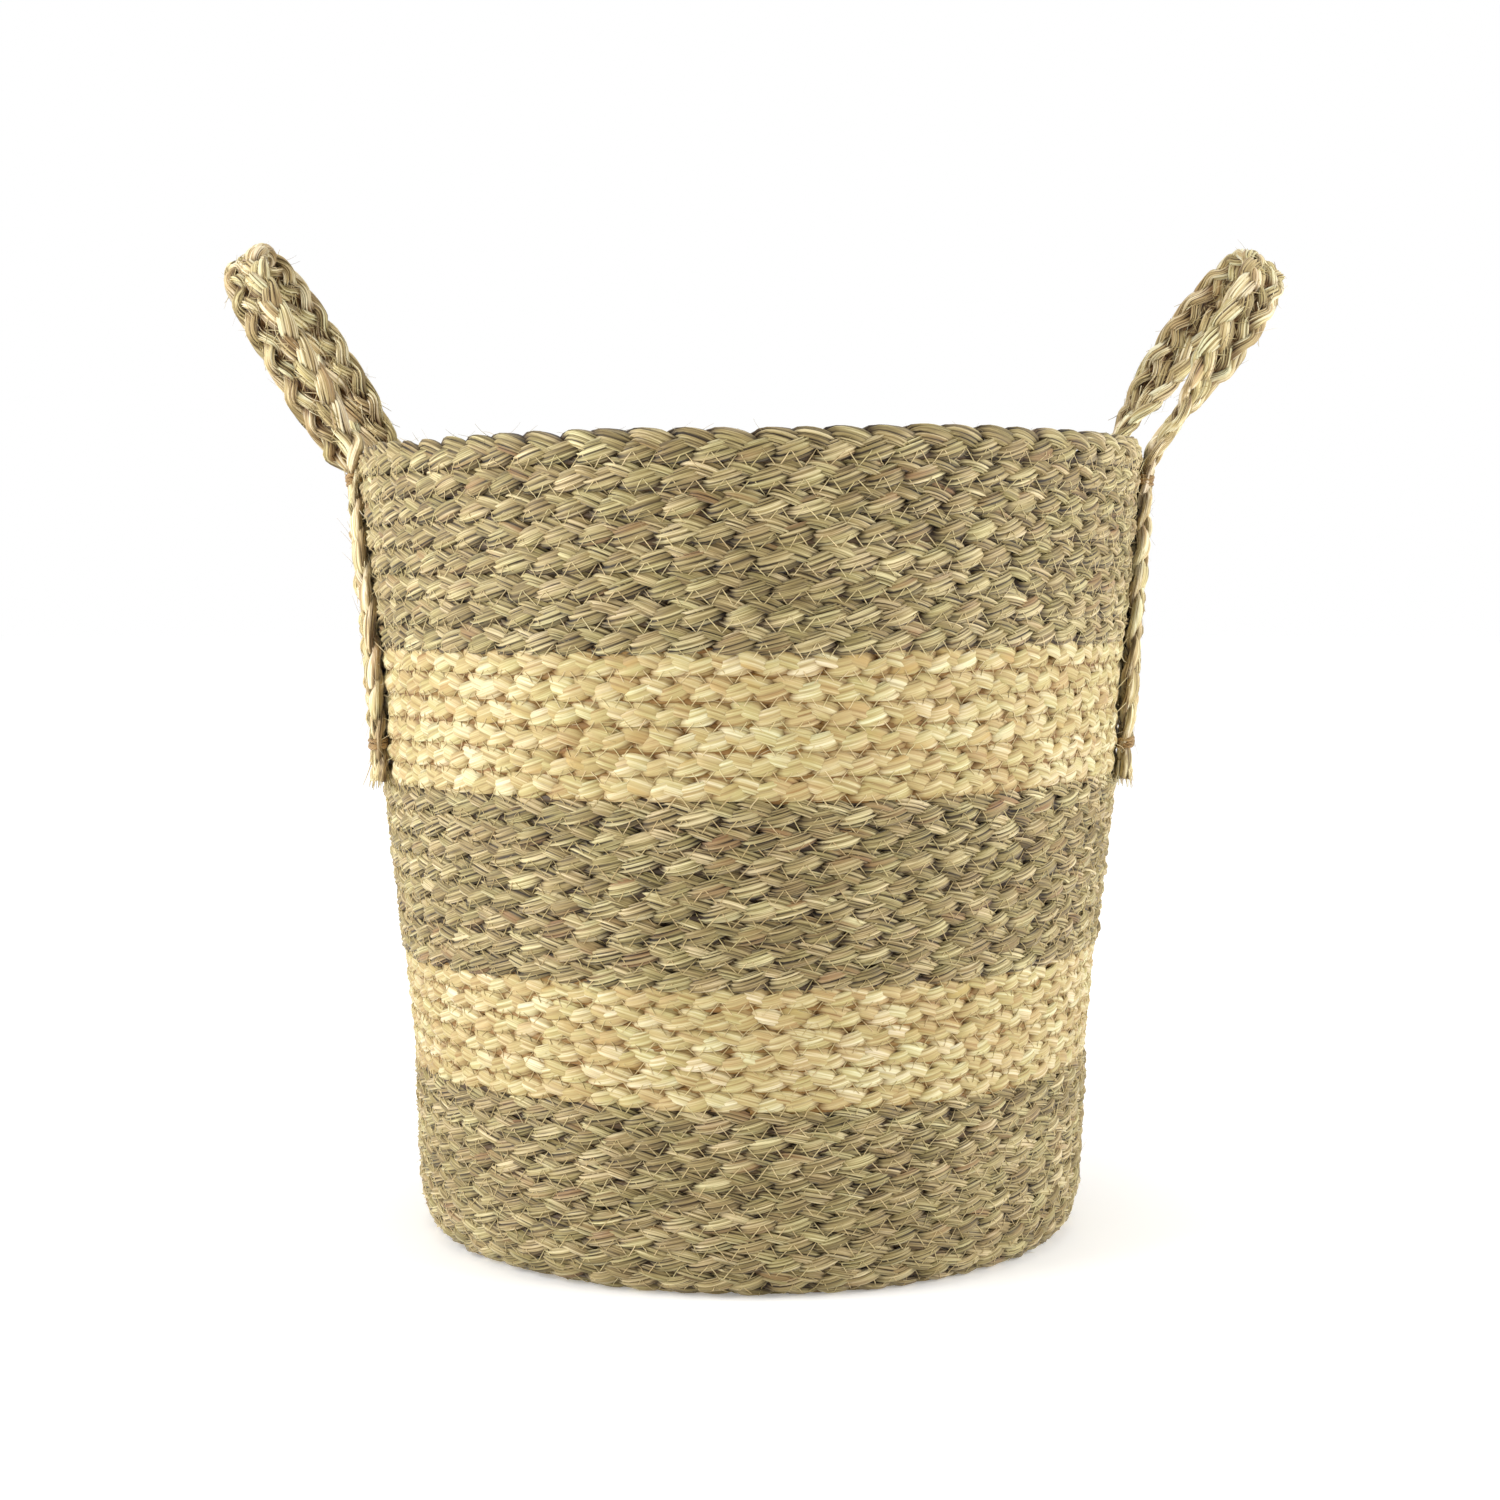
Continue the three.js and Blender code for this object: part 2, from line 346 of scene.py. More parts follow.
def coil_table():
    """Turns of the coil, and the length along the surface, at each change of band."""
    ends = [SPIRAL_START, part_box("base_spiral")[1].x]
    ends += [surface.length_at(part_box(node)[1].z) for node in WALL_BANDS]
    turns = np.concatenate([[0], np.cumsum([band[2] for band in BANDS])])
    return turns.astype(float), np.array(ends)


COIL_TURNS, COIL_LENGTHS = coil_table()


def coil_length(turns):
    """Length along the surface at so many turns of the coil."""
    return np.interp(turns, COIL_TURNS, COIL_LENGTHS)


def coil_run(first, last, rows_up=0.0):
    """Numbers of turns at close steps, and how far the coil, or a line rows above it, has run at each."""
    turns = np.linspace(first, last, int((last - first) * 360))
    radius = np.interp(coil_length(turns + rows_up), surface.length, surface.radius)
    steps = np.diff(turns) * TAU * (radius[1:] + radius[:-1]) / 2
    return turns, np.concatenate([[0], np.cumsum(steps)])


def row_height(turns):
    """Height of a row in the band that it belongs to."""
    pitch = np.diff(COIL_LENGTHS) / np.diff(COIL_TURNS)
    held = np.clip(np.searchsorted(COIL_TURNS, turns, "right") - 1, 0, len(pitch) - 1)
    return pitch[held]


def coil_course(first, last, style, ends, sink):
    """The course of the coil between two numbers of turns.

    ends are the lengths over which its first and last end thin out, and sink is how far the last drops."""
    dense, run = coil_run(first, last)
    along = np.linspace(0, run[-1], int(run[-1] / style.step))
    turns = np.interp(along, run, dense)
    point, across, out = surface.frame(coil_length(turns), SEAM + TAU * turns)
    start, end = ends
    last_end = smooth(0.25 + (along[-1] - along) / end)
    thinning = smooth(0.25 + along / start) * last_end
    drop = TUCK * (1 - thinning) + (sink - TUCK) * (1 - last_end)
    point = point - out * (TUCK * (1 - thinning))[:, None] - across * drop[:, None]
    lean_in, upright = math.sin(style.tilt), math.cos(style.tilt)
    tilted = across * upright - out * lean_in
    facing = out * upright + across * lean_in
    return Course(point, tilted, facing, along, row_height(turns), thinning)


# --- the plait --------------------------------------------------------------------
def measured(rings, course, way):
    """How far each point of a tube lies from the course's centre, along way."""
    return np.sum((rings - course.centre[:, None]) * way[:, None], -1)


def pressed(rings, course, style):
    """The move that flattens a row's edges against its neighbours."""
    side = measured(rings, course, course.across)
    limit = (course.width / 2 * style.press * course.taper)[:, None]
    share = np.abs(side) / limit
    start = 0.75  # share of the limit above which a point is held back
    held = start + (1 - start) * np.tanh((share - start) / (1 - start))
    move = np.where(share > start, np.sign(side) * held * limit - side, 0)
    return move[..., None] * course.across[:, None]


def strand(course, style, start, rng):
    """One strand of a three-strand plait: over the middle from one edge, then under to the other."""
    along = course.along

    def wander(amount, spacing):
        return amount * drift(rng, along, spacing)[0]

    turn = TAU * along / style.period + start + wander(0.36, 42 * MM)
    turn = turn - style.linger * np.cos(2 * turn)
    size = course.width / FULL_ROW * course.taper
    sway = np.sin(turn) - 0.10 * np.sin(3 * turn)
    side = style.swing * size * sway * (1 + wander(0.10, 17 * MM))
    over = -np.sin(2 * turn)
    depth = style.weave * course.taper * over * (1 + wander(0.16, 19 * MM))
    centre = course.centre + side[:, None] * course.across + depth[:, None] * course.out
    travel = unit(np.gradient(centre, axis=0))
    slope = -style.lens * np.sin(turn) * over + wander(0.22, 15 * MM)
    wide = square_to(course.across + slope[:, None] * course.out, travel)
    thin = np.cross(travel, wide)

    swell = 0.84 + style.pinch * over + wander(0.13, 15 * MM)
    half_width = style.broad / 2 * size * swell
    half_thick = style.thick / 2 * course.taper * (1 + wander(0.12, 13 * MM))
    angle = (np.arange(style.sides) + 0.5) * TAU / style.sides
    outline_x = np.sign(np.cos(angle)) * np.abs(np.cos(angle)) ** 0.8
    outline_y = np.sign(np.sin(angle)) * np.abs(np.sin(angle)) ** 0.85
    ridge = np.where(np.arange(style.sides) % 2, -1.0, 1.0)
    blade = drift(rng, along, 11 * MM, style.sides).T
    lift = style.groove * (ridge + 0.9 * blade)
    shift = drift(rng, along, 21 * MM, style.sides).T
    x = half_width[:, None] * (outline_x * (1 + 0.3 * lift) + 0.09 * shift)
    y = half_thick[:, None] * outline_y * (1 + lift)
    rings = centre[:, None] + x[..., None] * wide[:, None] + y[..., None] * thin[:, None]

    # exposed sets the painted shade: low deep in the plait, high on its faces and open edges
    rings = rings + pressed(rings, course, style)
    in_face = np.abs(measured(rings, course, course.out)) / REACH
    at_edge = measured(rings, course, course.across) * (course.open_edge / (course.width / 2))[:, None]
    exposed = np.maximum(in_face, at_edge)
    tone = drift(rng, along, 24 * MM)[0][:, None]
    fibre = as_vectors(along[:, None], x, rng.uniform(0, 100), x.shape)
    look = as_vectors(tone, exposed, ridge + 0.6 * blade, x.shape)
    return rings, {"fibre": fibre, "look": look}


# --- materials ---------------------------------------------------------------------
class Nodes:
    """A short way to write a material's nodes."""

    def __init__(self, name):
        self.material = bpy.data.materials.new(name)
        self.material.use_nodes = True
        self.tree = self.material.node_tree
        self.shader = self.tree.nodes["Principled BSDF"]

    def put(self, socket, value):
        if isinstance(value, bpy.types.NodeSocket):
            self.tree.links.new(value, socket)
        else:
            socket.default_value = value

    def attribute(self, name):
        node = self.tree.nodes.new("ShaderNodeAttribute")
        node.attribute_name = name
        split = self.tree.nodes.new("ShaderNodeSeparateXYZ")
        self.put(split.inputs[0], node.outputs["Vector"])
        return node.outputs["Vector"], split.outputs

    def scaled(self, vector, scale):
        node = self.tree.nodes.new("ShaderNodeVectorMath")
        node.operation = "MULTIPLY"
        self.put(node.inputs[0], vector)
        node.inputs[1].default_value = scale
        return node.outputs[0]

    def noise(self, vector, detail=2.0, roughness=0.6):
        node = self.tree.nodes.new("ShaderNodeTexNoise")
        self.put(node.inputs["Vector"], vector)
        node.inputs["Scale"].default_value = 1.0
        node.inputs["Detail"].default_value = detail
        node.inputs["Roughness"].default_value = roughness
        return node.outputs[0]

    def maths(self, operation, a, b):
        node = self.tree.nodes.new("ShaderNodeMath")
        node.operation = operation
        self.put(node.inputs[0], a)
        self.put(node.inputs[1], b)
        return node.outputs[0]

    def span(self, value, low, high, to_low=0.0, to_high=1.0):
        node = self.tree.nodes.new("ShaderNodeMapRange")
        self.put(node.inputs["Value"], value)
        node.inputs["From Min"].default_value = low
        node.inputs["From Max"].default_value = high
        node.inputs["To Min"].default_value = to_low
        node.inputs["To Max"].default_value = to_high
        return node.outputs["Result"]

    def mix(self, share, a, b, blend="MIX"):
        node = self.tree.nodes.new("ShaderNodeMix")
        node.data_type = "RGBA"
        node.blend_type = blend
        self.put(node.inputs["Factor"], share)
        self.put(node.inputs["A"], a)
        self.put(node.inputs["B"], b)
        return node.outputs["Result"]

    def bump(self, height, distance, strength):
        node = self.tree.nodes.new("ShaderNodeBump")
        node.inputs["Distance"].default_value = distance
        node.inputs["Strength"].default_value = strength
        self.put(node.inputs["Height"], height)
        return node.outputs["Normal"]


def dry_leaf(name, dark, middle, light, odd, gap_shade, streaks, gloss, valley_shade, even=0.0):
    """Dry plant fibre: lengthwise streaks, a colour of its own on each blade and painted shade in the gaps.

    odd is the colour of the few off-colour blades, gap is the colour of the painted shade in the hollows
    between strands, streaks is how fine the fibres are across the blade, per metre, gloss the roughness of
    its shiny parts, valleys how dark the painted shade in the grooves between blades is, and even how far
    each blade has one colour instead of streaks."""
    n = Nodes(name)
    fibre, _ = n.attribute("fibre")
    _, look = n.attribute("look")
    tone, height, ridge = look[0], look[1], look[2]
    fine = n.noise(n.scaled(fibre, (45, streaks, 1)), 3.0, 0.7)
    broad = n.noise(n.scaled(fibre, (22, streaks * 0.3, 1)), 2.0)
    patch = n.noise(n.scaled(fibre, (14, 160, 1)), 1.0)
    tone_part = 0.16 + 0.12 * abs(even)
    ridge_part = 0.10 - 0.10 * even
    broad_part = 0.28 - 0.14 * even
    fine_part = 0.32 - 0.18 * even
    value = n.maths("MULTIPLY", tone, tone_part)
    # painted shade across each strand: ridges lighter, grooves darker, with a random tone for each blade
    value = n.maths("ADD", value, n.maths("MULTIPLY", ridge, ridge_part))
    value = n.maths("ADD", value, n.span(broad, 0.3, 0.7, -broad_part, broad_part))
    value = n.maths("ADD", value, n.span(fine, 0.3, 0.7, -fine_part, fine_part))
    low = n.mix(n.span(value, -0.5, 0.02), dark, middle)
    colour = n.mix(n.span(value, 0.0, 0.5), low, light)
    colour = n.mix(n.span(patch, 0.6, 0.75, 0.0, 0.75), colour, odd)
    hue = n.span(n.noise(n.scaled(fibre, (38, 90, 1)), 1.0), 0.35, 0.65)
    greener, redder = (0.97, 1.01, 0.88, 1), (1.04, 0.985, 0.96, 1)
    colour = n.mix(1.0, colour, n.mix(hue, greener, redder), "MULTIPLY")
    # painted shade: the gap colour darkens what lies deep in the plait; height is how exposed it is
    colour = n.mix(n.span(height, 0.14, 0.68, 1.0, 0.0), colour, gap_shade, "MULTIPLY")
    # painted shade in the grooves between blades, deeper in some than in others
    colour = n.mix(n.span(ridge, -1.3, -0.35, valley_shade, 0.0), colour, dark, "MULTIPLY")
    n.put(n.shader.inputs["Base Color"], colour)
    n.put(n.shader.inputs["Roughness"], n.span(fine, 0.3, 0.75, gloss + 0.25, gloss))
    n.put(n.shader.inputs["Normal"], n.bump(n.maths("ADD", fine, broad), 0.25 * MM, 0.7))
    n.shader.inputs["Specular IOR Level"].default_value = 0.35
    n.shader.inputs["Sheen Weight"].default_value = 0.12
    n.shader.inputs["Sheen Roughness"].default_value = 0.5
    return n.material


MATERIALS = {
    "seagrass": dry_leaf(
        "dry_seagrass",
        dark=(0.085, 0.053, 0.018, 1), middle=(0.342, 0.262, 0.111, 1), light=(0.75, 0.64, 0.39, 1),
        odd=(0.29, 0.15, 0.065, 1), gap_shade=(0.115, 0.071, 0.033, 1), streaks=2200, gloss=0.40, valley_shade=1.0,
    ),
    "corn_husk": dry_leaf(
        "corn_husk_leaf",
        dark=(0.33, 0.20, 0.07, 1), middle=(0.505, 0.405, 0.188, 1), light=(0.78, 0.72, 0.515, 1),
        odd=(0.46, 0.31, 0.11, 1), gap_shade=(0.40, 0.25, 0.10, 1), streaks=1700, gloss=0.40, valley_shade=0.45,
        even=0.4,
    ),
    "strap": dry_leaf(
        "strap_seagrass",
        dark=(0.15, 0.088, 0.03, 1), middle=(0.60, 0.465, 0.225, 1), light=(0.95, 0.88, 0.65, 1),
        odd=(0.40, 0.23, 0.09, 1), gap_shade=(0.26, 0.155, 0.07, 1), streaks=2200, gloss=0.40, valley_shade=1.0,
        even=-0.5,
    ),
    "lashing": dry_leaf(
        "lashing_seagrass",
        dark=(0.26, 0.17, 0.07, 1), middle=(0.53, 0.41, 0.22, 1), light=(0.78, 0.66, 0.42, 1),
        odd=(0.42, 0.28, 0.13, 1), gap_shade=(0.55, 0.42, 0.27, 1), streaks=2400, gloss=0.45, valley_shade=0.5,
    ),
    "thread": dry_leaf(
        "tan_thread",
        dark=(0.36, 0.26, 0.11, 1), middle=(0.56, 0.44, 0.22, 1), light=(0.76, 0.65, 0.40, 1),
        odd=(0.45, 0.32, 0.15, 1), gap_shade=(0.60, 0.50, 0.32, 1), streaks=3000, gloss=0.4, valley_shade=0.0,
    ),
}


# --- the coil -------------------------------------------------------------------------
def plain_tube(points, radius, sides, side_way, rng, exposed=1.0):
    """A thin round tube along points, with the same vectors on it that a strand has."""
    travel = unit(np.gradient(points, axis=0))
    wide = unit(np.cross(travel, side_way))
    thin = np.cross(travel, wide)
    angle = np.arange(sides) * TAU / sides
    size = np.broadcast_to(radius, len(points))[:, None, None]
    ring = wide[:, None] * np.cos(angle)[:, None] + thin[:, None] * np.sin(angle)[:, None]
    along = length_along(points)[:, None]
    shape = (len(points), sides)
    fibre = as_vectors(along, 0.5 * MM * np.cos(angle), rng.uniform(0, 100), shape)
    look = as_vectors(rng.uniform(-1, 1), exposed, 0.5, shape)
    return points[:, None] + size * ring, {"fibre": fibre, "look": look}


def hidden_blades(first, last, rng):
    """A plain blade inside the joint between each row and the next, which closes it, in painted shade."""
    turns = np.arange(first, last, BLADE_STEP)
    point, _, out = surface.frame(coil_length(turns + 0.5), SEAM + TAU * turns)
    along = turns * TAU * MEAN_RADIUS
    point = point + out * 0.4 * MM * drift(rng, along, 12 * MM)[0][:, None]
    radius = BLADE_RADIUS * (1 + 0.25 * drift(rng, along, 15 * MM)[0])
    # an exposure of 0.15 paints the blade in nearly the full gap shade
    return plain_tube(point, radius, 6, out, rng, 0.15)


def build_bands():
    """The coil, band by band: three strands each, and the blades between the rows."""
    for number, (name, nodes, _, kind, plait) in enumerate(BANDS):
        style = STYLES[plait]
        at_rim = number == len(BANDS) - 1
        first = COIL_TURNS[number] - (OVERLAP if number else 0)
        last = COIL_TURNS[number + 1] + (0 if at_rim else OVERLAP)
        ends = (THINNING, RIM_THINNING if at_rim else THINNING)
        course = coil_course(first, last, style, ends, RIM_TUCK if at_rim else TUCK)
        for part in range(3):
            rng = np.random.default_rng(100 * number + part)
            rings, look = strand(course, style, part * TAU / 3, rng)
            rings[..., 2] = np.maximum(rings[..., 2], FLOOR_GAP)
            obj = piece(f"{name}_strand_{part + 1}", [(rings, look)], MATERIALS[kind])
            if part == 0:
                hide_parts(*nodes)
        start = max(COIL_TURNS[number] - 0.5, 0.3)
        tube = hidden_blades(start, COIL_TURNS[number + 1] - (1 if at_rim else 0.5), rng)
        piece(f"{name}_hidden_blades", [tube], MATERIALS[kind])


def face_heights(points, ways):
    """How far the plait's face lies from each point, measured along its way."""
    graph = bpy.context.evaluated_depsgraph_get()
    heights = []
    for point, way in zip(points + ways * CLEAR, -ways):
        hit, place, *_ = bpy.context.scene.ray_cast(
            graph, point.tolist(), way.tolist(), distance=CLEAR * 1.5,
        )
        reached = math.dist(place, point) if hit else CLEAR - REACH / 2
        heights.append(CLEAR - reached)
    return np.array(heights)


def zigzag(rng, length, stitch, reach, points_per_leg):
    """Length and side offset of the points of a zigzag, and each one's place in whole and part legs."""
    corners = int(length / stitch * 2)
    place = (np.arange(corners) + 0.18 * rng.uniform(-1, 1, corners)) * stitch / 2
    side = np.where(np.arange(corners) % 2, 1.0, -1.0) * reach * (1 + 0.15 * rng.uniform(-1, 1, corners))
    fine = np.arange((corners - 1) * points_per_leg + 1) / points_per_leg
    corner = np.arange(corners)
    return np.interp(fine, corner, place), np.interp(fine, corner, side), fine


def taut(heights, fine, thickness, dip):
    """Thread heights: it dips into the plait at its corners and lies on what it crosses in between."""
    corner = fine == np.round(fine)
    low = np.interp(fine, fine[corner], heights[corner] - dip)
    lying = np.maximum(low, heights + thickness / 2)
    return np.where(corner, low, lying)


def coil_thread(first, last, side, points_per_leg, sides, dip, rng):
    """The zigzag over the joint between each row and the next, on the outside (1) or inside (-1)."""
    dense, run = coil_run(first, last, 0.5)
    place, offset, fine = zigzag(rng, run[-1], STITCH, STITCH_REACH, points_per_leg)
    turns = np.interp(place, run, dense)
    point, _, out = surface.frame(coil_length(turns + 0.5) + offset, SEAM + TAU * turns)
    ways = out * side
    heights = taut(face_heights(point, ways), fine, THREAD_THICKNESS, dip)
    points = point + ways * heights[:, None]
    points[:, 2] = np.maximum(points[:, 2], FLOOR_GAP)
    return plain_tube(points, THREAD_THICKNESS / 2, sides, ways, rng)


def build_thread():
    """The thread of each band, which starts and ends half a turn early because it lies between rows."""
    for number, (name, _, _, kind, _) in enumerate(BANDS):
        rng = np.random.default_rng(500 + number)
        dip = (0.9 if kind == "corn_husk" else 0.3) * MM  # the softer husk lets the stitches sink in
        first = max(COIL_TURNS[number] - 0.5, 0.6)
        last = COIL_TURNS[number + 1] - (1 if number == len(BANDS) - 1 else 0.5)
        tubes = [
            coil_thread(first, last, 1, 4, 4, dip, rng),
            coil_thread(first, last, -1, 3, 3, dip, rng),
        ]
        piece(f"{name}_thread", tubes, MATERIALS["thread"])


def hair(rng, root, way, side_way, length, radius, curl):
    """A thin curved fibre that leaves root along way and curls sideways."""
    share = np.linspace(0, 1, 5)[:, None]
    bend = unit(np.cross(way, side_way)) * curl + side_way * 0.25 * curl
    points = root + way * length * share + bend * length * share**2
    points[:, 2] = np.maximum(points[:, 2], FLOOR_GAP)
    return plain_tube(points, radius * (1 - 0.6 * share[:, 0]), 3, side_way, rng)


def loose_fibres(rng, first, last, count, side):
    """Short fibres that stand off the rows between two numbers of turns."""
    turns = rng.uniform(first, last, count)
    offset = rng.uniform(-0.5, 0.5, count) * row_height(turns)
    point, across, out = surface.frame(coil_length(turns) + offset, SEAM + TAU * turns)
    ways = out * side
    roots = point + ways * (face_heights(point, ways) - 0.3 * MM)[:, None]
    travel = np.cross(across, out)
    tubes = []
    for root, up, off, run in zip(roots, across, ways, -travel):
        lean = rng.uniform(-0.6, 0.6)
        lying = rng.random() < 0.4
        rise = rng.uniform(0.02, 0.12) if lying else rng.uniform(0.05, 0.9) ** 2
        way = unit(run * rng.choice([-1, 1]) + up * lean + off * rise)
        length = rng.uniform(3, 11) * MM
        radius = rng.uniform(0.14, 0.30) * MM if lying else rng.uniform(0.05, 0.13) * MM
        tubes.append(hair(rng, root, way, off, length, radius, rng.uniform(-0.4, 0.4)))
    return tubes


def rim_fibres(rng, count):
    """Fibres that stand up from the rim."""
    angle = rng.uniform(0, TAU, count)
    point, across, out = surface.frame(np.full(count, COIL_LENGTHS[-1] - 0.5 * MM), angle)
    tubes = []
    for root, up, off in zip(point, across, out):
        run = np.cross(up, off) * rng.choice([-1, 1])
        way = unit(run + up * rng.uniform(0.1, 0.8) + off * rng.uniform(-0.5, 0.5))
        length = rng.uniform(3, 9) * MM
        radius = rng.uniform(0.05, 0.13) * MM
        tubes.append(hair(rng, root, way, off, length, radius, rng.uniform(-0.4, 0.4)))
    return tubes


def build_fibres():
    """Loose fibres on the wall, outside and inside, and on the rim. The base has none."""
    for number, (name, _, rows, kind, _) in enumerate(BANDS[1:], 1):
        rng = np.random.default_rng(700 + number)
        first, last = COIL_TURNS[number] + 0.5, COIL_TURNS[number + 1]
        tubes = loose_fibres(rng, first, last, OUTER_FIBRES * rows, 1)
        tubes += loose_fibres(rng, first, last, INNER_FIBRES * rows, -1)
        if number == len(BANDS) - 1:
            tubes += rim_fibres(rng, RIM_FIBRES)
        piece(f"{name}_loose_fibres", tubes, MATERIALS[kind])


build_bands()
build_thread()
build_fibres()


# --- the handles ----------------------------------------------------------------------
def blurred(values, count):
    """Rows of values averaged over an odd count of steps, with the ends held."""
    kernel = np.hanning(count + 2)[1:-1]
    padded = np.pad(values, ((count // 2, count // 2), (0, 0)), mode="reflect", reflect_type="odd")
    columns = [np.convolve(column, kernel / kernel.sum(), "valid") for column in padded.T]
    return np.stack(columns, -1)[: len(values)]


class Strap:
    """The line of one handle's strap, up one leg, round the loop and down the other.

    It is worked out with x outwards, y along the rim and z up, and then turned to face its own way."""

    def __init__(self, name):
        joint = next(j for j in frame["joints"] if j["name"] == f"{name}_handle_bend")
        self.pivot = Vector(joint["pos_m"])
        self.facing = math.atan2(self.pivot.y, self.pivot.x)
        self.hinge_radius = math.hypot(self.pivot.x, self.pivot.y) / math.cos(LEG_SPREAD)
        self.arch = self.hinge_radius * math.sin(LEG_SPREAD)
        self.kind = HANDLES[name]
        self.front = -1 if name == "right" else 1  # the front leg is the first, or the last
        self.walk()

    def leg(self, side, height):
        """Centre of the strap on one leg, and the direction across it, for an array of heights."""
        between = UPPER_LASHING - LOWER_LASHING
        down = smooth((UPPER_LASHING - height) / (0.6 * between))
        angle = side * (LEG_SPREAD + self.kind.splay * down)
        free = smooth((height - UPPER_LASHING) / (self.pivot.z - UPPER_LASHING))
        lying = surface.wall_radius(height) + LEG_THICKNESS / 2 - LEG_PRESS
        radius = lying + (self.hinge_radius - lying) * free
        out = np.stack([np.cos(angle), np.sin(angle), np.zeros_like(angle)], -1)
        centre = out * radius[:, None]
        centre[:, 2] = height
        return centre, out

    def walk(self):
        """The whole line at close steps: its length along, centre, across, out, width and squeeze."""
        rise = np.arange(LEG_FOOT, self.pivot.z, MM)
        kind = self.kind
        straight = kind.height - self.arch
        lean_up = np.array([math.sin(kind.lean), 0, math.cos(kind.lean)])
        sideways = np.array([0.0, 1.0, 0.0])
        plane = np.cross(sideways, lean_up)
        hinge = np.array([self.hinge_radius * math.cos(LEG_SPREAD), 0, self.pivot.z])

        first, first_out = self.leg(-1, rise)
        last, last_out = self.leg(1, rise[::-1])
        up = np.arange(0, straight, MM)
        round_top = np.arange(0, math.pi, MM / self.arch)
        climb = hinge - sideways * self.arch + up[:, None] * lean_up
        over = hinge - sideways * self.arch * np.cos(round_top)[:, None]
        over = over + lean_up * (straight + self.arch * np.sin(round_top))[:, None]
        fall = hinge + sideways * self.arch + up[::-1, None] * lean_up
        centre = np.concatenate([first, climb, over, fall, last])
        free = smooth((centre[:, 2] - self.pivot.z + 8 * MM) / (14 * MM))
        share = np.linspace(0, 1, len(centre))
        centre[:, 0] += SPRING * free * (share if self.front > 0 else 1 - share)

        above = np.concatenate([rise - self.pivot.z, up])
        flat = 1 - smooth((above - kind.turn_start) / (kind.turning * straight))
        quarter = np.concatenate([flat, 0 * round_top, flat[::-1]]) * math.pi / 2
        face = np.concatenate([first_out, np.tile(plane, (len(up) * 2 + len(round_top), 1)), last_out])
        travel = unit(np.gradient(blurred(centre, 13), axis=0))
        level = unit(np.cross(travel, face))
        across = face * np.cos(quarter)[:, None] + level * np.sin(quarter)[:, None]

        lower = np.exp(-(((rise - LOWER_LASHING) / LASHED_LENGTH) ** 2))
        upper = np.exp(-(((rise - UPPER_LASHING) / LASHED_LENGTH) ** 2))
        gathered = np.maximum(lower, upper)
        leg_width = LEG_WIDTH + (LASHED_WIDTH - LEG_WIDTH) * gathered
        widened = smooth(up / (kind.widening * straight))
        loop_width = kind.gathered + (kind.broad - kind.gathered) * widened
        top = np.full(len(round_top), kind.broad)
        width = np.concatenate([leg_width, loop_width, top, loop_width[::-1], leg_width[::-1]])
        self.squeezed = np.concatenate([gathered, 0 * up, 0 * round_top, 0 * up, gathered[::-1]])

        centre = blurred(centre, 13)
        across = blurred(across, 15)
        travel = unit(np.gradient(centre, axis=0))
        across = square_to(across, travel)
        self.along = length_along(centre)
        cos, sin = math.cos(self.facing), math.sin(self.facing)
        turned = np.array([[cos, -sin, 0], [sin, cos, 0], [0, 0, 1]]).T
        self.centre = centre @ turned
        self.across = across @ turned
        self.out = np.cross(travel, across) @ turned
        self.width = blurred(width[:, None], 11)[:, 0]

    def at(self, along):
        """Centre, across, out and width at lengths along the strap."""
        found = [
            np.stack([np.interp(along, self.along, column) for column in values.T], -1)
            for values in (self.centre, self.across, self.out)
        ]
        return *found, np.interp(along, self.along, self.width)

    def along_at(self, height, last_leg):
        """Length along the strap at a height on its first or last leg."""
        half = len(self.along) // 3
        leg = slice(-half, None) if last_leg else slice(0, half)
        order = -1 if last_leg else 1
        return float(np.interp(height, self.centre[leg, 2][::order], self.along[leg][::order]))


def strap_course(strap, style, place):
    """One of the strap's two plaits: place is -1 or 1 across it. They are woven opposite ways."""
    along = np.linspace(0, strap.along[-1], int(strap.along[-1] / style.step))
    centre, across, out, width = strap.at(along)
    middle = centre + across * (place * width / 4)[:, None]
    taper = 1 - 0.2 * np.interp(along, strap.along, strap.squeezed)
    # painted shade: the legs' open edges are painted darker than the loop's, as if the legs were in shade
    in_loop = smooth((centre[:, 2] - strap.pivot.z + 10 * MM) / (20 * MM))
    open_edge = 0.45 + 0.55 * in_loop
    return Course(middle, across * place, out * place, along, width / 2, taper, open_edge)


def build_strap(name, strap, number):
    """The strap of one handle, as one mesh of two plaits with three strands each."""
    style = STYLES["strap"]
    tubes = []
    for place in (-1, 1):
        course = strap_course(strap, style, place)
        for part in range(3):
            rng = np.random.default_rng(900 + 10 * number + 3 * place + part)
            tubes.append(strand(course, style, part * TAU / 3 + 0.8 * place, rng))
    obj = piece(f"{name}_handle_strap", tubes, MATERIALS["strap"], None)
    bend_with_handle(obj)
    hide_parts(f"{name}_loop", f"{name}_front_leg", f"{name}_rear_leg")


def bend_with_handle(obj):
    """Bake the piece's placement into its mesh."""
    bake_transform(obj)


